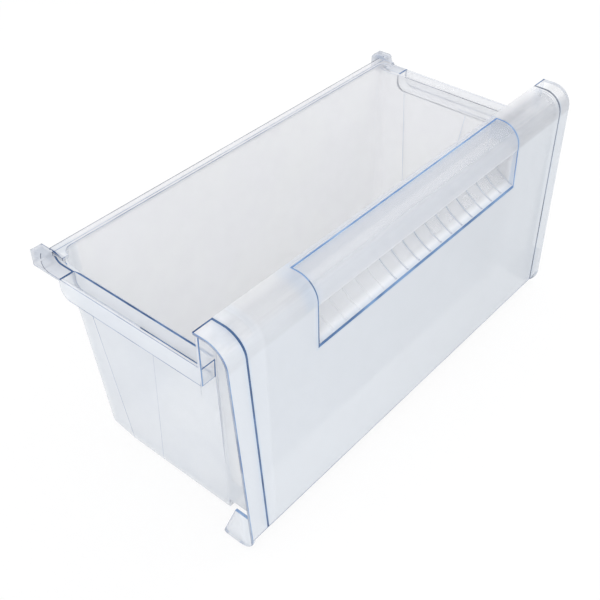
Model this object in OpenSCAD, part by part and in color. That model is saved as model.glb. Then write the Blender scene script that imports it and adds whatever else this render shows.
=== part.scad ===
// Bottom drawer of a fridge freezer, moulded in one piece of clear plastic.
// The front faces -Y, the width lies along X, and the base of the tray rests on Z = 0.

/* [Front] */
// Width of the front along its top
front_w = 440; // [380:1:600]
// Height from the base of the tray to the top of the front
front_h = 211; // [200:1:280]
// Height of the front's lower edge above the base
front_lift = 16; // [8:0.5:40]
// Depth of the front's top, from its lower edge back to the inside of the tray
front_d = 35; // [33:0.5:60]
// Thickness of the front's skin
skin_t = 2.5; // [1.5:0.1:3.5]
// Radius of the nose between the face and the top
nose_r = 18.5; // [12:0.5:22]
// Lean of the face, its lower edge forward, in degrees
face_lean = 1.9; // [0:0.1:4]
// Draft of the front's ends and of the webs behind it, in degrees
end_draft = 2.5; // [0:0.1:4]
// Width of the band at each end of the front, outside the tray
band_w = 17; // [15.5:0.5:30]
// Step of the end plates in from the front's ends
plate_inset = 2; // [0.5:0.1:3]

/* [Tray] */
// Depth of the drawer, from the front's lower edge to the rear stops
drawer_d = 212; // [170:1:500]
// Height of the side walls' top edge
side_h = 176; // [172:0.5:182]
// Rise of the rear rim above the side walls
rim_rise = 8.5; // [4:0.5:10]
// Thickness of the tray's walls
wall_t = 2.2; // [1.5:0.1:3]
// Thickness of the tray's floor
floor_t = 2.4; // [1.5:0.1:4]
// Draft of the side walls below the rails, in degrees
side_draft = 3.8; // [0.5:0.1:6]
// Draft of the tray's front wall, in degrees
front_draft = 2.5; // [0.5:0.1:4]
// Draft of the rear wall, in degrees
rear_draft = 2.6; // [0.5:0.1:6]
// Radius of the two rear corners
corner_r = 11; // [8:0.5:20]
// Radius round the base
base_r = 5; // [3.2:0.1:6]
// Distance of the side walls' crease from the rear wall, at the base
crease_low = 37; // [25:0.5:60]
// Distance of the side walls' crease from the rear wall, at the rails
crease_high = 27; // [22:0.5:60]
// Turn of the side walls behind the crease, in degrees
crease_turn = 3.5; // [1:0.1:6]

/* [Rails] */
// Width of the rails outside the tray
rail_w = 13; // [9:0.5:14]
// Height of the rails
rail_h = 17; // [12:0.5:30]
// Radius of the rails' lower rear end
rail_end_r = 9; // [4:0.5:11]
// Distance of the rails' rear end from the rear stops
rail_back = 33; // [28:0.5:80]

/* [Rear rim and stops] */
// Overhang of the rim behind the rear wall
rim_d = 6.6; // [4:0.1:10]
// Distance of the rim in front of the stops' rear
rim_back = 8.5; // [5:0.1:12]
// Thickness of the ledge at the rear corners
ledge_t = 2.2; // [1.8:0.1:5]
// Rear edge of the ledge in front of the stops' rear
ledge_back = 4; // [2:0.1:5]
// Length of the rear stops
stop_d = 15; // [12:0.5:20]
// Width of the rear stops
stop_w = 13; // [12:0.5:24]
// Height of the rear stops above the ledge
stop_h = 11; // [9:0.5:20]
// Radius of the rear stops' upper edges
stop_r = 4; // [3.2:0.1:5]
// Radius of the rear stops' outer corner, seen from above
stop_corner = 5; // [3.2:0.1:6]
// Radius of the fillet in front of the rear stops
stop_fillet = 7; // [3:0.5:8]

/* [Handle] */
// Width of the finger pocket
grip_w = 261; // [120:1:300]
// Sill of the pocket below the top of the front
sill_drop = 55.5; // [45:0.5:80]
// Lip of the hood below the top of the front
hood_drop = 21; // [14:0.5:30]
// Slope at which the pocket's curved ramp starts, in degrees
ramp_start = 20; // [10:1:25]
// Radius of the ramp
ramp_r = 50; // [46:0.5:70]
// Thickness of the pocket's walls
pocket_t = 1.8; // [1.2:0.1:2.5]
// Number of grip ribs on the ramp
rib_count = 16; // [3:1:17]
// Spacing of the grip ribs
rib_pitch = 15.1; // [4:0.1:15.5]
// Height of the grip ribs' upper end above the sill
rib_reach = 20; // [8:0.5:25]
// Width of each grip rib
rib_w = 1.2; // [0.8:0.1:3]
// Height of each grip rib
rib_h = 0.8; // [0.4:0.1:1.5]

/* [Feet] */
// Thickness of the feet
foot_t = 2.5; // [1.5:0.1:4]
// Length of the feet on the ground, with the round at the front
foot_d = 31; // [28:0.5:45]
// Height of the feet's top above the front's lower edge
foot_rise = 25; // [15:0.5:60]
// Depth of the feet at their top
foot_top_d = 16; // [10:0.5:25]
// Radius of the feet's rear lower corner
foot_r = 3; // [1:0.5:5]

/* [Hidden] */
$fn = 48;
far = 2000;
round_steps = 5;
arc_steps = 10;

half_w = front_w / 2;
tray_half = half_w - band_w;
rim_h = side_h + rim_rise;
rail_z = side_h - rail_h;
rail_out = tray_half + rail_w;
rail_end = drawer_d - rail_back;
rear_top = drawer_d - rim_back - rim_d;
rim_y = drawer_d - rim_back;
stop_y = drawer_d - stop_d;
stop_x = rail_out - stop_w;
stop_z = side_h + stop_h;
nose_z = front_h - nose_r;
nose_y = face_y(nose_z) + nose_r / cos(face_lean);
sill_z = front_h - sill_drop;
lip_z = front_h - hood_drop;
pocket_half = grip_w / 2;
ramp_y = face_y(sill_z) - ramp_r * sin(ramp_start);
ramp_z = sill_z + ramp_r * cos(ramp_start);

// Depth of the face at height z
function face_y(z) = (z - front_lift) * tan(face_lean);

// Depth of the tray's front wall at height z, from its inside
function wall_y(z, forward = 0) = front_d - forward + (front_h - z) * tan(front_draft);

// Depth of the rear wall's outside at height z
function rear_y(z) = rear_top - (rim_h - z) * tan(rear_draft);

// Half the tray's width at height z
function side_x(z) = tray_half - max(rail_z - z, 0) * tan(side_draft);

// Distance of the crease from the rear wall at height z
function crease_d(z) = crease_low + (crease_high - crease_low) * min(z / rail_z, 1);

// Half the front's width at height z, stepped in by inset
function end_x(z, inset = 0) = half_w - inset - (front_h - z) * tan(end_draft);

// Points of an arc round cx, cy from angle a0 to a1
function arc_points(cx, cy, r, a0, a1) = [
    for (i = [0 : arc_steps])
        let (a = a0 + (a1 - a0) * i / arc_steps) [cx + r * cos(a), cy + r * sin(a)]
];

// Turns an outline in Y and Z into a solid between x0 and x1
module along_x(x0, x1) {
    translate([x0, 0, 0])
        rotate([90, 0, 90])
            linear_extrude(height = x1 - x0) children();
}

// Turns an outline in X and Z into a solid between y0 and y1
module along_y(y0, y1) {
    translate([0, y1, 0])
        rotate([90, 0, 0])
            linear_extrude(height = y1 - y0) children();
}

// Both sides of the drawer
module both_sides() {
    children();
    mirror([1, 0, 0]) children();
}

// Outline of the front in Y and Z, stepped in by inset and open below z0
module front_outline(inset, z0, rear_step) {
    polygon(concat(
        [
            [wall_y(front_h - inset, rear_step), front_h - inset],
            [wall_y(z0, rear_step), z0],
            [face_y(z0) + inset / cos(face_lean), z0]
        ],
        arc_points(nose_y, nose_z, nose_r - inset, 180 - face_lean, 90)
    ));
}

// Everything between the front's two drafted ends
module between_ends(inset) {
    along_y(-far, far)
        polygon([
            [-end_x(0, inset), 0],
            [end_x(0, inset), 0],
            [end_x(front_h, inset), front_h],
            [-end_x(front_h, inset), front_h]
        ]);
}

// Skin of the front: face, nose and top
module front_skin() {
    intersection() {
        along_x(-half_w, half_w)
            difference() {
                front_outline(0, front_lift, 0);
                front_outline(skin_t, front_lift - skin_t, -front_d);
            }
        between_ends(0);
    }
}

// Plate across the top of each rail, in the plane of the tray's front wall
module end_plates() {
    intersection() {
        along_x(-half_w, half_w)
            polygon([
                [wall_y(rail_z, wall_t), rail_z],
                [wall_y(rail_z), rail_z],
                [wall_y(front_h), front_h],
                [wall_y(front_h, wall_t), front_h]
            ]);
        between_ends(plate_inset);
    }
}

// A drafted plate under the front that stands inset from its end
module drafted_plate(inset, thick) {
    along_y(-far, far)
        polygon([
            [end_x(0, inset + thick), 0],
            [end_x(0, inset), 0],
            [end_x(front_h, inset), front_h],
            [end_x(front_h, inset + thick), front_h]
        ]);
}

// Web at each end of the tray, which carries the side wall on to the face
module webs() {
    intersection() {
        drafted_plate(band_w, wall_t);
        along_x(0, half_w) front_outline(skin_t / 2, front_lift, wall_t / 2);
    }
}

// Foot under each end of the front
module feet() {
    foot_top = front_lift + foot_rise;
    intersection() {
        drafted_plate(0, foot_t);
        along_x(0, half_w)
            polygon(concat(
                arc_points(front_lift, front_lift, front_lift, 180, 270),
                arc_points(foot_d - foot_r, foot_r, foot_r, -90, 0),
                [[foot_top_d, foot_top], [face_y(foot_top) + skin_t / 2, foot_top], [skin_t / 2, front_lift]]
            ));
    }
}

// One side of the tray's outline at height z, from the front wall round the rear corner
function tray_side(z, inset) =
    let (
        side = side_x(z) - inset,
        tail = side - crease_d(z) * tan(crease_turn),
        back = rear_y(z) - inset,
        r = corner_r - inset
    )
    concat(
        [[side, wall_y(z, wall_t) + inset], [side, rear_y(z) - crease_d(z)]],
        arc_points(tail - r, back - r, r, 0, 90)
    );

// The tray's whole outline at height z, as points in space
function tray_ring(z, inset) =
    let (side = tray_side(z, inset), n = len(side))
    concat(
        [for (p = side) [p[0], p[1], z]],
        [for (i = [n - 1 : -1 : 0]) [-side[i][0], side[i][1], z]]
    );

// Solid through rings of points, each ring with as many points as the others
module loft(rings) {
    n = len(rings[0]);
    last = len(rings) - 1;
    sides = [
        for (k = [0 : last - 1], i = [0 : n - 1])
            let (a = k * n + i, b = k * n + (i + 1) % n)
                each [[a, a + n, b + n], [a, b + n, b]]
    ];
    caps = [[for (i = [0 : n - 1]) i], [for (i = [n - 1 : -1 : 0]) last * n + i]];
    polyhedron(points = [for (ring = rings) each ring], faces = concat(caps, sides));
}

// Tapered form of the tray, stepped in by inset, with its base at floor_z
module tray_form(inset, floor_z, top) {
    r = base_r - inset;
    base_rings = [
        for (i = [0 : round_steps])
            let (turn = 90 * i / round_steps)
                tray_ring(floor_z + r * (1 - cos(turn)), inset + r * (1 - sin(turn)))
    ];
    loft(concat(base_rings, [tray_ring(rail_z, inset), tray_ring(top, inset)]));
}

// What is cut away above the side walls and the rear rim
module above_walls() {
    rise_y = rear_top - wall_t;
    along_x(-half_w, half_w)
        difference() {
            polygon([
                [wall_y(side_h), side_h],
                [drawer_d, side_h],
                [drawer_d, front_h + skin_t],
                [wall_y(front_h + skin_t), front_h + skin_t]
            ]);
            polygon(concat(
                [[drawer_d + rim_rise, rim_h], [drawer_d + rim_rise, side_h - rim_rise]],
                [[rise_y - rim_rise, side_h - rim_rise]],
                arc_points(rise_y - rim_rise, rim_h, rim_rise, -90, 0)
            ));
        }
}

// Outline of a rail in Y and Z, stepped in by inset
module rail_outline(inset, top) {
    r = rail_end_r - inset;
    low = rail_z + inset;
    end = rail_end - inset;
    polygon(concat(
        [[wall_y(top, wall_t / 2), top], [wall_y(low, wall_t / 2), low]],
        arc_points(end - r, low + r, r, -90, 0),
        [[end, top]]
    ));
}

// Rail on the outside of each side wall
module rails() {
    along_x(tray_half - wall_t, rail_out) rail_outline(0, side_h);
}

// Trough inside each rail
module rail_troughs() {
    along_x(tray_half, rail_out - wall_t) rail_outline(wall_t, side_h + wall_t);
}

// Ledge round each rear corner, behind the rail
module ledges() {
    ledge_r = stop_w / 2;
    ledge_y = drawer_d - ledge_back;
    translate([0, 0, side_h - ledge_t])
        linear_extrude(height = ledge_t) {
            translate([stop_x - ledge_r, rail_end - wall_t])
                square([stop_w + ledge_r, ledge_y - rail_end + wall_t - ledge_r]);
            translate([stop_x - ledge_r, rail_end])
                square([stop_w, ledge_y - rail_end]);
            translate([rail_out - ledge_r, ledge_y - ledge_r]) circle(ledge_r);
        }
}

// Outline of a rear stop in Y and Z, stepped in by inset
module stop_outline(inset, low) {
    r = stop_r - inset;
    front = stop_y + inset;
    back = drawer_d - inset;
    top = stop_z - inset;
    translate([front, low]) square([back - front, top - r - low]);
    translate([front + r, low]) square([back - front - 2 * r, top - low]);
    translate([front + r, top - r]) circle(r);
    translate([back - r, top - r]) circle(r);
}

// Outline of a rear stop in X and Z, stepped in by inset
module stop_section(inset, low) {
    r = stop_r - inset;
    inner = stop_x + inset;
    outer = rail_out - inset;
    top = stop_z - inset;
    translate([inner, low]) square([outer - inner, top - r - low]);
    translate([inner + r, low]) square([outer - inner - 2 * r, top - low]);
    translate([inner + r, top - r]) circle(r);
    translate([outer - r, top - r]) circle(r);
}

// Outline of a rear stop from above, stepped in by inset
module stop_plan(inset) {
    r = stop_corner - inset;
    polygon(concat(
        [[stop_x + inset, stop_y + inset], [rail_out - inset, stop_y + inset]],
        arc_points(rail_out - inset - r, drawer_d - inset - r, r, 0, 90),
        [[stop_x + inset, drawer_d - inset]]
    ));
}

// Rounded block of a rear stop down to the height low, stepped in by inset
module stop_block(inset, low) {
    intersection() {
        along_x(0, half_w) stop_outline(inset, low);
        along_y(0, drawer_d) stop_section(inset, low);
        linear_extrude(height = front_h) stop_plan(inset);
    }
}

// Rear stop on each ledge, with the fillet in front of it
module stops() {
    stop_block(0, side_h - ledge_t);
    along_x(stop_x, rail_out)
        polygon(concat(
            [[stop_y + stop_r / 2, side_h + stop_fillet], [stop_y + stop_r / 2, side_h - ledge_t / 2]],
            [[stop_y - stop_fillet, side_h - ledge_t / 2]],
            arc_points(stop_y - stop_fillet, side_h + stop_fillet, stop_fillet, -90, 0)
        ));
}

// Space under each rear stop
module stop_hollows() {
    stop_block(wall_t, side_h - 2 * ledge_t);
}

// Rim behind the rear wall: a flat top and a skirt
module rear_rim() {
    along_x(-stop_x - wall_t, stop_x + wall_t) {
        translate([rear_top - corner_r, rim_h - wall_t])
            square([rim_y - rear_top + corner_r, wall_t]);
        translate([rim_y - wall_t, side_h])
            square([wall_t, rim_h - side_h]);
    }
}

// Turn from straight down at which an arc of radius r round the ramp's centre reaches depth y
function ramp_turn(y, r) = asin((y - ramp_y) / r) - 90;

// Outline of the space above the pocket's curved ramp, grown by grow
module pocket_outline(grow) {
    r = ramp_r + grow;
    polygon(concat(
        arc_points(ramp_y, ramp_z, r, ramp_turn(-skin_t, r), ramp_turn(front_d, r)),
        [[front_d, front_h], [-skin_t, front_h]]
    ));
}

// Shell of the finger pocket
module pocket_shell() {
    along_x(-pocket_half - pocket_t, pocket_half + pocket_t)
        intersection() {
            pocket_outline(pocket_t);
            front_outline(skin_t / 2, front_lift, wall_t / 2);
        }
}

// Outline of the finger space: behind the hood, and through the face below it
module finger_outline() {
    intersection() {
        pocket_outline(0);
        union() {
            front_outline(skin_t, front_lift, 0);
            translate([-skin_t, front_lift]) square([nose_y, lip_z - front_lift]);
        }
    }
}

// Space for the fingers
module finger_space() {
    along_x(-pocket_half, pocket_half) finger_outline();
}

// Grip ribs up the pocket's ramp
module grip_ribs() {
    first_rib = -(rib_count - 1) / 2 * rib_pitch - rib_w / 2;
    for (i = [0 : rib_count - 1])
        along_x(first_rib + i * rib_pitch, first_rib + i * rib_pitch + rib_w)
            intersection() {
                difference() {
                    pocket_outline(pocket_t / 2);
                    pocket_outline(-rib_h);
                }
                front_outline(skin_t / 2, front_lift, 0);
                square([front_d + wall_t, sill_z + rib_reach]);
            }
}

// Everything moulded on to the tray, before the tray's inside is cleared
module moulding() {
    difference() {
        tray_form(0, 0, front_h);
        above_walls();
    }
    both_sides() {
        rails();
        ledges();
        stops();
    }
    rear_rim();
}

module drawer() {
    color([0.74, 0.84, 0.93, 0.55])
        translate([0, -drawer_d / 2, 0]) {
            difference() {
                moulding();
                tray_form(wall_t, floor_t, front_h + wall_t);
                both_sides() {
                    rail_troughs();
                    stop_hollows();
                }
            }
            difference() {
                union() {
                    front_skin();
                    pocket_shell();
                }
                finger_space();
            }
            end_plates();
            both_sides() {
                webs();
                feet();
            }
            grip_ribs();
        }
}

drawer();
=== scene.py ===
# %% [markdown]
# # A clear freezer drawer in Blender
# The real drawer is one moulding of clear, pale blue plastic: a front with a round nose and a finger
# pocket, and a tray behind it with a rail on each side. Clear plastic is hard to draw. Its walls hardly
# show, and what the eye reads is the edges, where light that ran along inside the sheet comes out blue.
# So this scene takes the shape from the CAD model, gives the walls a thin pale body, and gives every edge
# and seam its own narrow face with a deeper finish.

# %% Load the frame
import math
import bpy
from mathutils import Matrix, Vector


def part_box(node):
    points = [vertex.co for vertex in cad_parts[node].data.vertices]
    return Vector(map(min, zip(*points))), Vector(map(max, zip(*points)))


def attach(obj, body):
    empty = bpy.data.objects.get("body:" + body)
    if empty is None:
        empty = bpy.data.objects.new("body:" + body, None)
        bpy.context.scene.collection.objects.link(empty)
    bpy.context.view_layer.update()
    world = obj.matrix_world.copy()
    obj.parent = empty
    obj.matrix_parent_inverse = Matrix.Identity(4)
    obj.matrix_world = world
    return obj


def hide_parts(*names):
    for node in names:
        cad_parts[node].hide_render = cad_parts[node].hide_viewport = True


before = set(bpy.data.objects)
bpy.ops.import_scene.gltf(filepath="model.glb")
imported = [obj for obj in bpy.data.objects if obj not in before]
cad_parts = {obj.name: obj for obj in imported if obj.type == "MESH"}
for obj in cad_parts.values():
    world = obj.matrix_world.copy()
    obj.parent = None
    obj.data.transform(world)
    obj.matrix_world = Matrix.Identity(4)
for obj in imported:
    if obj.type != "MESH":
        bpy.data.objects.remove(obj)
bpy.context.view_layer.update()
MM = 0.001

# %% [markdown]
# ## Sizes
# The box of the CAD node gives the outer sizes. The rest repeats the drawer's own values in millimetres,
# each measured from that box, so that a wider drawer keeps its seams in the right place.

# %% Sizes worked out from the frame
low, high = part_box("drawer")
half_width = high[0] / MM
front_y = low[1] / MM
rear_y = high[1] / MM
top_z = high[2] / MM
front_depth = 35
front_lift = 16
nose_radius = 18.5
face_lean = math.tan(math.radians(1.9))
end_draft = math.tan(math.radians(2.5))
band_width = 17
plate_inset = 2
skin = 2.5
wall = 2.2
ledge = 2.2
print("half width", half_width, "front", front_y, "rear", rear_y, "top", top_z)

# %% Places of the handle, the rails and the stops
pocket_half = 130.5
sill_z = top_z - 55.5
lip_z = top_z - 21
side_z = 176
rail_z = side_z - 17
tray_half = half_width - band_width
rail_out = tray_half + 13
rail_end = rear_y - 33
foot_top = front_lift + 25
nose_z = top_z - nose_radius
nose_y = front_y + (nose_z - front_lift) * face_lean + nose_radius * math.hypot(1, face_lean)
print("sill", sill_z, "lip", lip_z, "tray half", tray_half, "rail end", rail_end)


# %% [markdown]
# ## Working with the mesh by hand, in code
# Each step below selects faces by where they lie and which way they face, as one would by clicking, and
# then calls the same operator that a menu would. These three helpers do the selecting.

# %% Helpers that select and cut
def only(piece):
    bpy.ops.object.select_all(action="DESELECT")
    piece.select_set(True)
    bpy.context.view_layer.objects.active = piece


def pick(piece, test):
    """Selects the faces for which test(corners, normal) holds, with corners in millimetres."""
    only(piece)
    bpy.ops.object.mode_set(mode="EDIT")
    bpy.ops.mesh.select_mode(type="FACE")
    bpy.ops.mesh.select_all(action="DESELECT")
    bpy.ops.object.mode_set(mode="OBJECT")
    corners = [vertex.co / MM for vertex in piece.data.vertices]
    count = 0
    for face in piece.data.polygons:
        face.select = test([corners[i] for i in face.vertices], face.normal)
        count += face.select
    return count


def cut(piece, point, normal, test):
    """Cuts the faces that pass the test along a plane, as the Bisect tool does."""
    count = pick(piece, test)
    bpy.ops.object.mode_set(mode="EDIT")
    bpy.ops.mesh.bisect(plane_co=[value * MM for value in point], plane_no=normal)
    bpy.ops.object.mode_set(mode="OBJECT")
    return count


def middle(corners):
    return sum(corners, Vector()) / len(corners)


# %% [markdown]
# ## Shader maths that reads as maths
# A socket in the small class below can be added, multiplied and compared like a number, and each such
# sum adds one Math node. It keeps the finishes further down short enough to read.

# %% A socket that can be calculated with
class Value:
    def __init__(self, maker, socket):
        self.maker = maker
        self.socket = socket

    def math(self, operation, *others):
        sockets = dict(enumerate([self, *others]))
        return self.maker.node("ShaderNodeMath", {"operation": operation}, sockets)

    def __add__(self, other):
        return self.math("ADD", other)

    def __radd__(self, other):
        return self.math("ADD", other)

    def __mul__(self, other):
        return self.math("MULTIPLY", other)

    def __rmul__(self, other):
        return self.math("MULTIPLY", other)

    def __sub__(self, other):
        return self.math("SUBTRACT", other)

    def __rsub__(self, other):
        return self.maker.node("ShaderNodeMath", {"operation": "SUBTRACT"}, {0: other, 1: self})

    def __abs__(self):
        return self.math("ABSOLUTE")

    def __or__(self, other):
        """The larger of two masks, so that it covers what either of them covers."""
        return self.math("MAXIMUM", other)

    def between(self, start, end):
        """0 below start, 1 above end and smooth between."""
        settings = {"interpolation_type": "SMOOTHSTEP"}
        sockets = {"Value": self, "From Min": start, "From Max": end}
        return self.maker.node("ShaderNodeMapRange", settings, sockets)


class Maker:
    def __init__(self, tree):
        self.tree = tree

    def node(self, kind, settings, sockets, output=0):
        """Adds one node: its settings first, then the values or links of its sockets."""
        made = self.tree.nodes.new(kind)
        for name, value in settings.items():
            setattr(made, name, value)
        for name, value in sockets.items():
            if isinstance(value, Value):
                self.tree.links.new(value.socket, made.inputs[name])
            else:
                made.inputs[name].default_value = value
        return Value(self, made.outputs[output])


class Finish(Maker):
    def __init__(self, name):
        self.material = bpy.data.materials.new(name)
        self.material.use_nodes = True
        super().__init__(self.material.node_tree)
        self.shader = self.tree.nodes["Principled BSDF"]
        self.place = self.node("ShaderNodeTexCoord", {}, {}, "Object")

    def axes(self):
        made = self.node("ShaderNodeSeparateXYZ", {}, {0: self.place})
        outputs = made.socket.node.outputs
        return [Value(self, output) for output in outputs]

    def noise(self, size, detail=3.0):
        """Cloudy noise whose lumps are about size metres across."""
        sockets = {"Vector": self.place, "Scale": 1 / size, "Detail": detail}
        return self.node("ShaderNodeTexNoise", {}, sockets)

    def blend(self, amount, first, second):
        settings = {"data_type": "RGBA"}
        sockets = {0: amount, 6: first, 7: second}
        return self.node("ShaderNodeMix", settings, sockets, output=2)

    def feed(self, **sockets):
        for name, value in sockets.items():
            socket = self.shader.inputs[name.replace("_", " ")]
            if isinstance(value, Value):
                self.tree.links.new(value.socket, socket)
            else:
                socket.default_value = value

    def bump(self, height, distance, strength):
        sockets = {"Height": height, "Distance": distance, "Strength": strength}
        return self.node("ShaderNodeBump", {}, sockets)


def srgb(red, green, blue):
    """A colour as a screen shows it, from 0 to 255, turned into the linear one that Blender uses."""
    values = [channel / 255 for channel in (red, green, blue)]
    linear = [v / 12.92 if v <= 0.04045 else ((v + 0.055) / 1.055) ** 2.4 for v in values]
    return (*linear, 1.0)


print("helpers ready")

# %% [markdown]
# ## The clear walls
# Glass shaders bend and darken what is behind them, and need many samples to look calm. The drawer's
# walls are thin and flat, so they bend almost nothing. A pale body that lets part of the picture through
# says the same and stays clean: two faces of a wall hide most of the white floor, as the studio photo
# shows. A broad, shallow bump gives the slow waves of a moulded sheet, and a fine one its slight haze.
# The face is bluer than the tray, because there the eye looks through more plastic.
# Painted shade darkens the face towards the right, lies as a deeper band on the round of the nose, and
# darkens the top inside the loop. Painted blue light also spreads a few millimetres beside each strong
# edge.

# %% Places of the strong lines, in millimetres
seam_x = tray_half + 0.1
loop_x = pocket_half + 0.9
loop_y = front_y + 29.6
sill_line = sill_z - 1.6


# %% Masks for the walls
def line_glow(finish):
    """Mask of the painted blue light beside the lines on the front's skin, with a wider painted patch on
    the nose and top by the pocket's near end.
    """
    x, y, z = finish.axes()
    across = abs(x)
    reach = 4 * MM
    inside_loop = 1 - across.between((loop_x + 0.5) * MM, (loop_x + 4) * MM)
    above_sill = z.between((sill_z - 5) * MM, (sill_z - 2) * MM)
    seam = 1 - abs(across - (z - top_z * MM) * end_draft - seam_x * MM).between(0, reach)
    side = (1 - abs(across - loop_x * MM).between(0, reach)) * above_sill
    back = (1 - abs(y - loop_y * MM).between(0, reach)) * inside_loop * above_sill
    sill = (1 - abs(z - sill_line * MM).between(0, reach)) * inside_loop
    face_skin = 1 - y.between((front_y + 8) * MM, (front_y + 10) * MM)
    nose_skin = z.between((nose_z - 2) * MM, nose_z * MM)
    forward = 1 - y.between((front_y + 34) * MM, (front_y + 37) * MM)
    lines = (seam | side | back | sill) * (face_skin | nose_skin) * forward
    glow_by_near_end = 1 - abs(x + (loop_x + 4) * MM).between(2 * MM, 13 * MM)
    return lines | glow_by_near_end * nose_skin * forward * 0.5


def light_places(finish):
    """Masks of the troughs, the webs and the pocket, which glow with the light let in around them."""
    x, y, z = finish.axes()
    across = abs(x)
    behind = y.between((front_y + 34) * MM, (front_y + 36) * MM)
    beside = across.between((tray_half - 0.6) * MM, (tray_half - 0.3) * MM)
    within = 1 - across.between((rail_out - 1.5) * MM, (rail_out - 0.5) * MM)
    before_stop = 1 - y.between((rail_end - 2) * MM, rail_end * MM)
    trough = beside * within * before_stop * z.between(rail_z * MM, (rail_z + 1) * MM)
    web = across.between((tray_half - 13) * MM, (tray_half - 11) * MM) * (1 - behind)
    inside_skin = y.between((front_y + 9) * MM, (front_y + 11) * MM)
    above_foot = z.between(foot_top * MM, (foot_top + 4) * MM)
    pocket = (1 - across.between(pocket_half * MM, loop_x * MM)) * z.between((sill_z - 4) * MM, sill_z * MM)
    inside_face = y.between((front_y + 4) * MM, (front_y + 6) * MM)
    before_wall = 1 - y.between((front_y + 31) * MM, (front_y + 33) * MM)
    return trough * behind, web * inside_skin * above_foot, pocket * inside_face * before_wall


def masks(finish):
    """Masks of the face, the near side wall, the painted shade on the nose and on the top inside the loop,
    and the stops.
    """
    x, y, z = finish.axes()
    face = 1 - y.between((front_y + 8) * MM, (front_y + 14) * MM)
    near_side = 1 - x.between((16 - tray_half) * MM, (20 - tray_half) * MM)
    raised = z.between((nose_z - 4) * MM, nose_z * MM)
    forward = 1 - y.between((nose_y - 3) * MM, (nose_y + 7) * MM)
    # The painted shade on the nose is weaker towards the near end.
    nose_shade_fade = x.between((20 - half_width) * MM, -0.06) * 0.5 + 0.5
    top = raised * (1 - y.between((front_y + 34) * MM, (front_y + 36) * MM))
    between_ends = 1 - abs(x).between((loop_x - 2) * MM, loop_x * MM)
    nose = raised * forward * nose_shade_fade * (1 - between_ends * 0.5)
    beside = abs(x).between((tray_half - 1) * MM, (tray_half - 0.5) * MM)
    raised_end = z.between((side_z - 3) * MM, (side_z - 2) * MM)
    stop = beside * raised_end * y.between((rail_end - 1) * MM, rail_end * MM)
    return face, near_side, nose, top * between_ends, stop


# %% Finish of the walls
def clear_walls():
    finish = Finish("clear_walls")
    face, near_side, nose, in_loop, stop = masks(finish)
    trough, web, pocket = light_places(finish)
    # Painted shade that darkens the face and the nose band towards the right.
    shade_to_right = finish.axes()[0].between(-half_width * MM, half_width * MM)
    cloud = finish.noise(0.09)
    patch = cloud.between(0.35, 0.65)
    haze = finish.noise(0.004, 2.0)
    waves = finish.noise(0.05, 1.0)
    tray = finish.blend(patch, srgb(234, 235, 239), srgb(238, 239, 241))
    front = finish.blend(shade_to_right, srgb(225, 230, 236), srgb(215, 220, 226))
    side = finish.blend(patch, srgb(224, 229, 236), srgb(229, 233, 238))
    inside = finish.blend(stop, finish.blend(near_side, tray, side), srgb(208, 213, 222))
    # Painted light: the troughs, the webs and the pocket are painted almost white.
    body = finish.blend(trough | web | pocket, finish.blend(face, inside, front), srgb(249, 251, 254))
    # Painted shade on the top inside the loop.
    top = finish.blend(in_loop * 0.8, body, srgb(210, 215, 224))
    # Painted shade: a deeper band on the round of the nose, darker towards the right.
    painted_nose_shade = finish.blend(shade_to_right, srgb(210, 213, 218), srgb(191, 194, 200))
    shaded = finish.blend(nose * 0.9, top, painted_nose_shade)
    # Painted blue light beside the strong lines on the front.
    colour = finish.blend(line_glow(finish) * 0.45, shaded, srgb(178, 206, 238))
    relief = finish.bump(waves, 0.0009, 0.3)
    fine = finish.bump(haze, 0.00003, 0.4)
    finish.tree.links.new(relief.socket, fine.socket.node.inputs["Normal"])
    finish.feed(Base_Color=colour, Roughness=0.14 + cloud * 0.1, Normal=fine, IOR=1.49)
    thick = face * 0.26 + (near_side | stop) * 0.11 - (trough | web | pocket) * 0.14
    finish.feed(Alpha=0.36 + cloud * 0.12 + thick)
    return finish.material


# %% [markdown]
# ## The edges
# Where the sheet ends, or another wall stands behind it, the eye looks along the plastic instead of
# through it. There it is a deep blue, almost navy where the wall is thick and paler where it is thin.
# The colour wanders a little along the edge, because a mould's edge is never quite sharp.

# %% Finishes of the edges
def edge_finish(name, deep, pale, cover):
    finish = Finish(name)
    drift = finish.noise(0.03, 2.0).between(0.35, 0.68)
    colour = finish.blend(drift, deep, pale)
    finish.feed(Base_Color=colour, Roughness=0.12 + drift * 0.1, IOR=1.49)
    finish.feed(Alpha=cover - drift * 0.12)
    return finish.material


finishes = {
    "walls": clear_walls(),
    "deep": edge_finish("deep_edges", srgb(34, 68, 112), srgb(74, 110, 158), 1.0),
    "sill": edge_finish("sill_edge", srgb(46, 92, 144), srgb(92, 138, 190), 1.0),
    "blue": edge_finish("blue_edges", srgb(82, 122, 176), srgb(130, 164, 206), 0.97),
    "soft": edge_finish("soft_edges", srgb(112, 128, 158), srgb(164, 176, 196), 0.8),
    "grey": edge_finish("grey_edges", srgb(66, 76, 94), srgb(116, 124, 140), 0.95),
    "faint": edge_finish("faint_edges", srgb(178, 188, 206), srgb(206, 213, 225), 0.6),
}
slots = {name: index for index, name in enumerate(finishes)}
print("finishes:", slots)

# %% [markdown]
# ## The moulding
# The CAD mesh is loose triangles. A copy is merged, so that neighbours share their corners and the nose
# can shade smoothly, and flat regions are dissolved to single faces. The copy then stands for the CAD
# node, which stays hidden in the frame.

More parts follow.
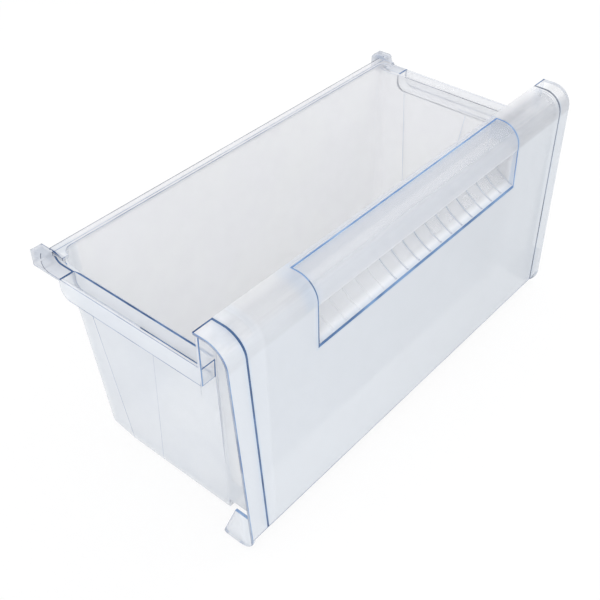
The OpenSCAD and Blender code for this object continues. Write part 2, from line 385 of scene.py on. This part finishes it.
# %% Copy and merge the CAD mesh
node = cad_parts["drawer"]
shell = node.copy()
shell.data = node.data.copy()
shell.name = "clear_shell"
shell.parent = None
bpy.context.collection.objects.link(shell)
only(shell)
bpy.ops.object.mode_set(mode="EDIT")
bpy.ops.mesh.select_all(action="SELECT")
bpy.ops.mesh.remove_doubles(threshold=0.001 * MM)
bpy.ops.mesh.dissolve_limited(angle_limit=math.radians(0.3))
bpy.ops.object.mode_set(mode="OBJECT")
shell.data.materials.clear()
for material in finishes.values():
    shell.data.materials.append(material)
for face in shell.data.polygons:
    face.material_index = slots["walls"]
print("merged shell:", len(shell.data.polygons), "faces")


# %% [markdown]
# ## Rounded edges
# No moulded edge is knife sharp. A bevel of a third of a millimetre rounds each corner, catches a fine
# line of light and takes the faint edge finish. It comes before the mesh is made triangles, so that it
# meets whole faces, and leaves out the shortest edges, where it would fold over itself.

# %% Round every sharp edge
bevel_width = 0.34
shortest = 0.45
bpy.ops.object.mode_set(mode="EDIT")
bpy.ops.mesh.select_mode(type="EDGE")
bpy.ops.mesh.select_all(action="DESELECT")
bpy.ops.mesh.edges_select_sharp(sharpness=math.radians(28))
bpy.ops.object.mode_set(mode="OBJECT")
points = [vertex.co / MM for vertex in shell.data.vertices]
for edge in shell.data.edges:
    first, second = (points[index] for index in edge.vertices)
    edge.select = edge.select and (first - second).length > shortest
bpy.ops.object.mode_set(mode="EDIT")
bpy.ops.mesh.bevel(offset=bevel_width * MM, segments=2, clamp_overlap=False, material=slots["faint"])
bpy.ops.mesh.select_all(action="SELECT")
bpy.ops.mesh.quads_convert_to_tris()
bpy.ops.object.mode_set(mode="OBJECT")
print("rounded shell:", len(shell.data.polygons), "faces")


# %% [markdown]
# ## Drawing a line on the plastic
# A wall that ends against the inside of another shows outside as a line. Two cuts beside each other make
# a strip of the line's width in the faces it crosses, and the strip gets an edge finish. A face is
# described by a test on its corners and its normal, so that the same few functions draw every line.

# %% Strips and painted faces
def paint(title, finish, test, rounding_only=False):
    count = pick(shell, test)
    for face in shell.data.polygons:
        if face.select and not (rounding_only and face.material_index != slots["faint"]):
            face.material_index = slots[finish]
    print(title + ":", count, "faces,", finish)


def strip(title, finish, region, start, end, direction):
    """Paints the part of a region between two points, measured along a direction."""
    direction = Vector(direction).normalized()
    first = Vector(start).dot(direction)
    last = Vector(end).dot(direction)
    cut(shell, start, direction, region)
    cut(shell, end, direction, region)

    def inside(corners, normal):
        place = middle(corners).dot(direction)
        return min(first, last) < place < max(first, last) and region(corners, normal)

    paint(title, finish, inside)


def near(value, target, margin=0.15):
    return abs(value - target) < margin


def on_side(side, test):
    return lambda corners, normal: middle(corners).x * side > 0 and test(corners, normal)


# %% Depth below the front's outer skin
def skin_depth(point):
    """Distance of a point in from the outside of the face, the nose or the flat top."""
    if point.z < nose_z:
        return (point.y - front_y - (point.z - front_lift) * face_lean) / math.hypot(1, face_lean)
    if point.y < nose_y:
        return nose_radius - math.hypot(point.y - nose_y, point.z - nose_z)
    return top_z - point.z


def end_at(z, inset=0):
    return half_width - inset - (top_z - z) * end_draft


def outer_skin(corners, normal):
    back_edge = front_y + front_depth + 0.1
    return all(near(skin_depth(point), 0, 0.3) and point.y < back_edge for point in corners)


def front_skin(corners, normal):
    """A face of the outer skin or of the rounding beside it."""
    back_edge = front_y + front_depth + 0.1
    return all(-0.3 < skin_depth(point) < 0.45 and point.y < back_edge for point in corners)


# %% [markdown]
# ## Lines on the front
# The tray's two webs run into the back of the face, and a line shows where each one ends. Another line
# closes round the finger pocket: over the nose on both sides, along the top behind it, and along the
# sill, which is the strongest of all because the ramp starts there.

# %% Web seams and the loop round the pocket
cut(shell, (0, 0, 0), (1, 0, 0), front_skin)
for side, finish, inner_x in ((-1, "deep", seam_x - 1.1), (1, "grey", seam_x - 1.5)):
    across = (side, 0, -end_draft)
    start = (side * (seam_x + 0.8), 0, top_z)
    strip("web seam", finish, on_side(side, outer_skin), start, (side * inner_x, 0, top_z), across)


def above_sill(corners, normal):
    return front_skin(corners, normal) and min(point.z for point in corners) > sill_line - 1.3


def across_pocket(corners, normal):
    return front_skin(corners, normal) and max(abs(point.x) for point in corners) < loop_x + 0.8


def seen_above(corners, normal):
    return middle(corners).y < loop_y + 0.9 and above_sill(corners, normal)


cut(shell, (0, 0, sill_line - 1.2), (0, 0, 1), front_skin)
cut(shell, (0, loop_y + 0.8, 0), (0, 1, 0), above_sill)
for side, half_line in ((-1, 0.55), (1, 0.8)):
    inner = (side * (loop_x - half_line), 0, 0)
    outer = (side * (loop_x + half_line), 0, 0)
    strip("pocket side", "blue", seen_above, inner, outer, (side, 0, 0))
strip("pocket sill", "sill", across_pocket, (0, 0, sill_line - 1.2), (0, 0, sill_z + 0.1), (0, 0, 1))
strip("pocket back", "blue", across_pocket, (0, loop_y - 0.8, 0), (0, loop_y + 0.8, 0), (0, 1, 0))


# %% Grip ribs and the pocket's ends, seen through the face
def grip_rib(corners, normal):
    centre = middle(corners)
    in_pocket = sill_z + 0.4 < centre.z < lip_z + 12 and front_y + 3 < centre.y < front_y + 32
    return in_pocket and -pocket_half + 1 < centre.x < -40


def pocket_end(corners, normal):
    centre = middle(corners)
    below_hood = sill_z - 3 < centre.z < top_z - 3 and front_y + 3 < centre.y < front_y + 33
    past_end = pocket_half + 0.3 < abs(centre.x) < pocket_half + 2.5
    return below_hood and past_end and abs(normal.x) < 0.3


def pocket_shell(corners, normal):
    centre = middle(corners)
    inside = front_y + 3 < centre.y < front_y + 33 and sill_z - 4 < centre.z < top_z - 3
    return inside and max(abs(point.x) for point in corners) > pocket_half + 1 and abs(normal.x) < 0.3


paint("ribs on the left", "walls", grip_rib, rounding_only=True)
cut(shell, (-pocket_half - 0.5, 0, 0), (1, 0, 0), on_side(-1, pocket_shell))
paint("pocket's left end", "deep", on_side(-1, pocket_end))


# %% Edges of the front
def band_top(corners, normal):
    beside = min(abs(point.x) for point in corners) > tray_half - 0.2
    return beside and min(point.y for point in corners) > front_y + 31 and front_skin(corners, normal)


def top_rear_edge(corners, normal):
    centre = middle(corners)
    return abs(centre.x) < tray_half and centre.y > front_y + 34 and front_skin(corners, normal)


foot_line = (0, 0, front_lift + 0.8)
strip("foot of the face", "soft", front_skin, (0, 0, front_lift - 0.1), foot_line, (0, 0, 1))
cut(shell, (0, front_y + 32, 0), (0, 1, 0), outer_skin)
strip("band's rear edge", "deep", band_top, (0, front_y + 33.5, 0), (0, front_y + 35.1, 0), (0, 1, 0))
paint("top's rear edge", "walls", top_rear_edge, rounding_only=True)


# %% [markdown]
# ## Ends of the front
# The front is open at its two ends, and its cut edge, two and a half millimetres wide, runs over the nose
# and down to the foot. The foot lies flush with it, so the edge has to be cut out of that larger face.
# The near end catches the light. The far one, which is seen from behind the plastic, stays almost white.

# %% Cut edges and feet
def flush_end(corners, normal):
    return abs(normal.x) > 0.95 and all(near(abs(p.x), end_at(p.z), 0.3) for p in corners)


def cut_edge(corners, normal):
    return flush_end(corners, normal) and skin_depth(middle(corners)) < skin


def end_rounding(corners, normal):
    centre = middle(corners)
    return end_at(centre.z, 0.5) < abs(centre.x) and skin_depth(centre) < 0.5


def foot_rim(corners, normal):
    centre = middle(corners)
    outside = end_at(centre.z, skin + 0.2) < abs(centre.x) < end_at(centre.z, -0.2)
    return outside and centre.z < foot_top + 0.2 and abs(normal.x) < 0.8 and skin_depth(centre) > skin


cut(shell, (0, front_y + skin, front_lift), (0, 1, -face_lean), flush_end)
paint("front's near cut edge", "soft", on_side(-1, cut_edge))
paint("front's far cut edge", "faint", on_side(1, cut_edge))
paint("rounding of the near end", "blue", on_side(-1, end_rounding), rounding_only=True)
paint("rim of the near foot", "blue", on_side(-1, foot_rim))
paint("rim of the far foot", "deep", on_side(1, foot_rim))


# %% [markdown]
# ## Lines on the rails
# Each rail is a trough outside the side wall. From the front left the eye meets the near wall's top edge
# end on, so it is the darkest line of the tray. The far one is seen from inside and stays pale.

# %% Top edges of the side walls
def level(height, inner, outer):
    """A test for level faces at a height, between two distances from the drawer's middle."""
    def test(corners, normal):
        flat = normal.z > 0.9 and all(near(point.z, height) for point in corners)
        return flat and all(inner - 0.2 < abs(point.x) < outer + 0.2 for point in corners)
    return test


def about_level(height, inner, outer):
    """As above, with the rounding beside it."""
    def test(corners, normal):
        centre = middle(corners)
        return near(centre.z, height, 0.45) and inner - 0.2 < abs(centre.x) < outer + 0.2
    return test


def before_rear(test):
    return lambda corners, normal: middle(corners).y < rail_end + 0.5 and test(corners, normal)


side_top = about_level(side_z, tray_half - wall, tray_half)
skirt_top = about_level(side_z, rail_out - wall, rail_out)
beside_tray = level(side_z, tray_half, rail_out)
rear_level = level(side_z, 0, rail_out)
near_top = on_side(-1, level(side_z, tray_half - wall, tray_half))
outer_edge = (-tray_half, 0, 0)
strip("near side wall's top", "deep", near_top, outer_edge, (1.5 - tray_half, 0, 0), (1, 0, 0))
paint("near wall's rounding", "blue", on_side(-1, side_top), rounding_only=True)
paint("far side wall's top", "grey", on_side(1, side_top), rounding_only=True)
paint("near skirt's top", "soft", on_side(-1, before_rear(skirt_top)), rounding_only=True)
for side in (-1, 1):
    cut(shell, (side * tray_half, 0, 0), (1, 0, 0), rear_level)
plate_edge = (0, rail_end - wall - 0.1, 0)
strip("trough's rear edge", "deep", beside_tray, plate_edge, (0, rail_end - 0.6, 0), (0, 1, 0))


# %% Edges of the skirts and corners inside the troughs
def skirt_foot(corners, normal):
    centre = middle(corners)
    low_enough = centre.z < rail_z + 9.5 and centre.y > front_y + front_depth - 4
    return low_enough and abs(centre.x) > rail_out - 0.5


def trough_end(corners, normal):
    centre = middle(corners)
    beside = tray_half - 0.5 < abs(centre.x) < rail_out + 0.2
    return beside and rail_z - 0.3 < centre.z < side_z and rail_end - wall - 9 < centre.y < rail_end + 0.5


def trough_floor(corners, normal):
    flat = normal.z > 0.9 and all(near(point.z, rail_z + wall) for point in corners)
    return flat and all(abs(point.x) > tray_half - 0.2 for point in corners)


def front_half(corners, normal):
    return middle(corners).y < 2 and trough_floor(corners, normal)


def skirt_face(corners, normal):
    return abs(normal.x) > 0.95 and all(near(abs(point.x), rail_out) for point in corners)


def under_trough(corners, normal):
    under = normal.z < -0.9 and all(near(point.z, rail_z) for point in corners)
    return under and all(abs(point.x) > tray_half - 0.2 for point in corners)


def behind_trough(corners, normal):
    behind = normal.y > 0.3 and all(rail_z - 0.2 < point.z < side_z for point in corners)
    return behind and all(abs(p.x) > tray_half - 3 and p.y > rail_end - 20 for p in corners)


def trough_corner(corners, normal):
    centre = middle(corners)
    return abs(centre.x) < tray_half + 0.7 and centre.z > side_z - 10 and trough_end(corners, normal)


strip("skirts' foot", "soft", skirt_face, (0, 0, rail_z + 0.2), (0, 0, rail_z + 1.0), (0, 0, 1))
paint("rounding of the skirts' foot", "soft", skirt_foot, rounding_only=True)
paint("troughs' rear end", "soft", trough_end, rounding_only=True)
paint("trough's rear corner", "grey", on_side(-1, trough_corner), rounding_only=True)
for side, finish in ((-1, "soft"), (1, "grey")):
    wall_x = (side * tray_half, 0, 0)
    corner_x = (side * (tray_half + 1.3), 0, 0)
    strip("corner under the trough", finish, on_side(side, under_trough), wall_x, corner_x, (1, 0, 0))
    behind_x = (side * (tray_half - 1), 0, 0)
    strip("corner behind the trough", finish, on_side(side, behind_trough), behind_x, corner_x, (1, 0, 0))
cut(shell, (0, 2, 0), (0, 1, 0), trough_floor)
for side in (-1, 1):
    corner = on_side(side, front_half)
    start = (side * (tray_half + 1.3), 0, 0)
    strip("trough's inner corner", "deep", corner, (side * tray_half, 0, 0), start, (side, 0, 0))


# %% Front plates of the rails
def front_plate(corners, normal):
    beside = all(abs(point.x) > tray_half - wall - 0.3 for point in corners)
    depth = front_y + front_depth - wall
    flat = all(near(p.y, depth + (top_z - p.z) * end_draft, 0.2) for p in corners)
    return normal.y < -0.9 and beside and flat and min(point.z for point in corners) > rail_z - 1


def plate_below_top(corners, normal):
    return front_plate(corners, normal) and max(point.z for point in corners) < side_z - 1


plate_top = (0, 0, side_z - 1.2)
strip("plate at the rail's top", "deep", front_plate, plate_top, (0, 0, side_z + 0.2), (0, 0, 1))
plate_foot = (0, 0, rail_z - 0.5)
strip("plate's lower edge", "soft", plate_below_top, plate_foot, (0, 0, rail_z + 1.2), (0, 0, 1))
for side in (-1, 1):
    across = (side, 0, -end_draft)
    edge = (side * end_at(top_z, plate_inset), 0, top_z)
    inner_edge = (side * end_at(top_z, plate_inset + 1.2), 0, top_z)
    strip("plate's outer edge", "blue", on_side(side, front_plate), inner_edge, edge, across)
    web = (side * (tray_half + 0.9), 0, 0)
    inner_web = (side * (tray_half - 0.6), 0, 0)
    strip("plate's inner edge", "deep", on_side(side, plate_below_top), inner_web, web, (side, 0, 0))


# %% [markdown]
# ## Lines on the tray
# The side walls are folded twice, once near the rear and once near the middle. A fold of a few degrees
# hardly changes the light, but it shows as a thin line down the wall. The stops at the rear corners and
# the rim between them show by their roundings.

# %% Folds of the side walls
def side_wall(corners, normal):
    low_enough = max(point.z for point in corners) < rail_z + 0.2
    beside = all(tray_half - 14 < abs(point.x) < tray_half + 0.2 for point in corners)
    return abs(normal.x) > 0.9 and low_enough and beside


rear_fold = math.tan(math.radians(6.2))
middle_fold = math.tan(math.radians(-7.0))
folds = (("rear fold", "soft", 45.3, rear_fold), ("middle fold", "faint", 11.2, middle_fold))
for title, finish, depth, lean in folds:
    start = (0, depth, 0)
    end = (0, depth + 0.7, 0)
    strip("near " + title, finish, on_side(-1, side_wall), start, end, (0, 1, -lean))
    strip("far " + title, "faint", on_side(1, side_wall), start, end, (0, 1, -lean))


# %% Stops
def at_stop(corners, normal):
    centre = middle(corners)
    return centre.z > side_z - 3 and centre.y > rail_end and abs(centre.x) > tray_half - 0.3


def stop_ring(corners, normal):
    high_enough = middle(corners).z > side_z + 5
    rear_or_right = max(normal.x, normal.y) > 0.3
    return 0.4 < normal.z < 0.62 and rear_or_right and high_enough and at_stop(corners, normal)


def stop_corner(corners, normal):
    upright = abs(normal.z) < 0.2 and 0.35 < normal.x < 0.95
    return upright and normal.y > 0 and at_stop(corners, normal)


def ledge_inside(corners, normal):
    centre = middle(corners)
    behind = centre.y > rail_end - 0.5 and centre.z > side_z - 0.3
    return behind and normal.z > 0.1 and tray_half - 0.2 < abs(centre.x) < tray_half + 14


def stop_outline(corners, normal):
    centre = middle(corners)
    return centre.z > side_z - 13 and centre.y > rail_end + 0.5 and abs(centre.x) > tray_half - 0.3


def outer_side(corners, normal):
    """The outer side of a stop and of the ledge before it."""
    past_rail = min(point.y for point in corners) > rail_end - 0.3
    beside = min(abs(point.x) for point in corners) > rail_out - 2.5
    return past_rail and beside and abs(normal.x) > 0.9 and middle(corners).z > side_z - ledge - 0.5


def stop_inside(corners, normal):
    centre = middle(corners)
    high_enough = centre.z > side_z + 5 and centre.y > rail_end
    return high_enough and 0.25 < normal.z < 0.9 and tray_half - 0.2 < abs(centre.x) < tray_half + 4


for side, line, ring in ((-1, "deep", "faint"), (1, "faint", "soft")):
    paint("stop's roundings", "grey", on_side(side, stop_outline), rounding_only=True)
    paint("stop's top edge", ring, on_side(side, stop_ring))
    paint("stop's upright corners", "soft", on_side(side, stop_corner))
    inside = on_side(side, ledge_inside)
    start = (side * (tray_half - 0.1), 0, 0)
    strip("ledge's inner edge", line, inside, start, (side * (tray_half + 1.6), 0, 0), (side, 0, 0))
    top = on_side(side, stop_inside)
    start = (side * (tray_half + 0.4), 0, 0)
    strip("stop's inner edge", line, top, start, (side * (tray_half + 2.0), 0, 0), (side, 0, 0))
below = (0, 0, side_z - ledge - 0.6)
strip("ledge's lower edge", "soft", outer_side, below, (0, 0, side_z - ledge + 0.9), (0, 0, 1))


# %% Rear rim
rim_z = side_z + 8.5
rim_rear = rear_y - 8.5
rim_depth = 6.6
rim_top = level(rim_z, 0, tray_half)


def rim_edge(corners, normal):
    centre = middle(corners)
    return near(centre.z, rim_z, 0.5) and centre.y > rim_rear - rim_depth - 3 and abs(centre.x) < tray_half


strip("rim's outer edge", "grey", rim_top, (0, rim_rear - 0.9, 0), (0, rim_rear + 0.1, 0), (0, 1, 0))
inner_rim = rim_rear - rim_depth
strip("rim's inner line", "soft", rim_top, (0, inner_rim, 0), (0, inner_rim + 0.7, 0), (0, 1, 0))
paint("rounding of the rim", "soft", rim_edge, rounding_only=True)

# %% [markdown]
# ## Shading
# The cuts have left a few corners almost in one place, which are merged first. Then the rounded edges
# shade smoothly into the walls. Weighted normals then give each large flat wall its own
# direction back, so that only the narrow roundings turn with the light.

# %% Smooth shading and the finished shell
only(shell)
bpy.ops.object.mode_set(mode="EDIT")
bpy.ops.mesh.select_all(action="SELECT")
bpy.ops.mesh.remove_doubles(threshold=0.004 * MM)
bpy.ops.object.mode_set(mode="OBJECT")
bpy.ops.object.shade_smooth_by_angle(angle=math.radians(24))
weights = shell.modifiers.new("flat_walls", "WEIGHTED_NORMAL")
weights.keep_sharp = True
bpy.ops.object.modifier_apply(modifier="flat_walls")
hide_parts("drawer")
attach(shell, "root")
print("finished shell:", len(shell.data.polygons), "faces")

# %% [markdown]
# ## Floor and light
# The studio photo is pale grey plastic on pure white. The floor glows white to the camera, and to rays
# that reflections and clear faces send out, and still takes a soft shadow. Large lamps high on the left
# and a grey sky light the plastic at the level at which a colour comes out as written.

# %% A plain white floor
def seen_directly(maker):
    """1 for rays from the camera, from a reflection and through a clear face, and 0 for the rest."""
    names = ("Is Camera Ray", "Is Glossy Ray", "Is Transmission Ray")
    camera_ray, glossy_ray, clear_ray = [maker.node("ShaderNodeLightPath", {}, {}, name) for name in names]
    return camera_ray | glossy_ray | clear_ray


def white_floor(shadow_share):
    """White to the camera, with a share of plain diffuse white that takes the shadow."""
    material = bpy.data.materials.new("studio_floor")
    material.use_nodes = True
    maker = Maker(material.node_tree)
    glow = maker.node("ShaderNodeEmission", {}, {"Color": (1, 1, 1, 1), "Strength": 1.0})
    plain = maker.node("ShaderNodeBsdfDiffuse", {}, {"Color": (0.93, 0.93, 0.93, 1)})
    share = seen_directly(maker) * (1 - shadow_share)
    mix = maker.node("ShaderNodeMixShader", {}, {0: share, 1: plain, 2: glow})
    maker.tree.links.new(mix.socket, maker.tree.nodes["Material Output"].inputs["Surface"])
    return material


only_white = white_floor(0.14)
bpy.ops.mesh.primitive_plane_add(size=12, location=(0, 0, 0))
floor = bpy.context.object
floor.name = "floor"
floor.data.materials.append(only_white)
print("floor:", floor.dimensions[:])


# %% Sky and lamps
def area_lamp(name, place, size, power):
    light = bpy.data.lights.new(name, "AREA")
    light.size = size
    light.energy = power
    lamp = bpy.data.objects.new(name, light)
    bpy.context.collection.objects.link(lamp)
    lamp.location = place
    aim = Vector((0, 0, 0.1)) - Vector(place)
    lamp.rotation_euler = aim.to_track_quat("-Z", "Y").to_euler()
    return lamp


world = bpy.data.worlds.new("studio_sky")
bpy.context.scene.world = world
world.use_nodes = True
sky = Maker(world.node_tree)
soft_sky = sky.node("ShaderNodeBackground", {}, {"Color": (0.99, 0.99, 1, 1), "Strength": 0.98})
white_sky = sky.node("ShaderNodeBackground", {}, {"Color": (1, 1, 1, 1), "Strength": 1.0})
sky_mix = sky.node("ShaderNodeMixShader", {}, {0: seen_directly(sky), 1: soft_sky, 2: white_sky})
sky.tree.links.new(sky_mix.socket, sky.tree.nodes["World Output"].inputs["Surface"])
area_lamp("window_left", (-1.6, -1.0, 1.9), 1.4, 14)
area_lamp("window_right", (1.7, -0.6, 1.5), 1.2, 7)
bpy.context.scene.view_settings.view_transform = "Standard"
print("lights ready")

# %% [markdown]
# ## Camera
# The photo looks down at the drawer's left front corner from about 40 degrees. The direction, distance
# and lens come from matching the drawer's corners in the photo, and a small shift puts the picture's
# centre where that match found it.

# %% Camera at the photo's viewing angle
azimuth = math.radians(-49.59)
elevation = math.radians(40.55)
roll = math.radians(-0.17)
distance = 0.88184
target = Vector((3.55, 32.09, 28.99)) * MM
back = Vector((
    math.sin(azimuth) * math.cos(elevation),
    -math.cos(azimuth) * math.cos(elevation),
    math.sin(elevation)
))
bpy.ops.object.camera_add(location=target + back * distance)
camera = bpy.context.object
turn = back.to_track_quat("Z", "Y").to_matrix().to_4x4() @ Matrix.Rotation(roll, 4, "Z")
camera.rotation_euler = turn.to_euler()
camera.data.sensor_width = 36
camera.data.lens = 56.465
camera.data.shift_x = 0.0022
camera.data.shift_y = 0.0102
camera.data.clip_end = 50
bpy.context.scene.camera = camera
print("camera at", [round(value, 4) for value in camera.location])

# %% [markdown]
# ## Closing the scene
# The view layer is brought up to date before the scene is closed.

# %% Close the scene
bpy.context.view_layer.update()
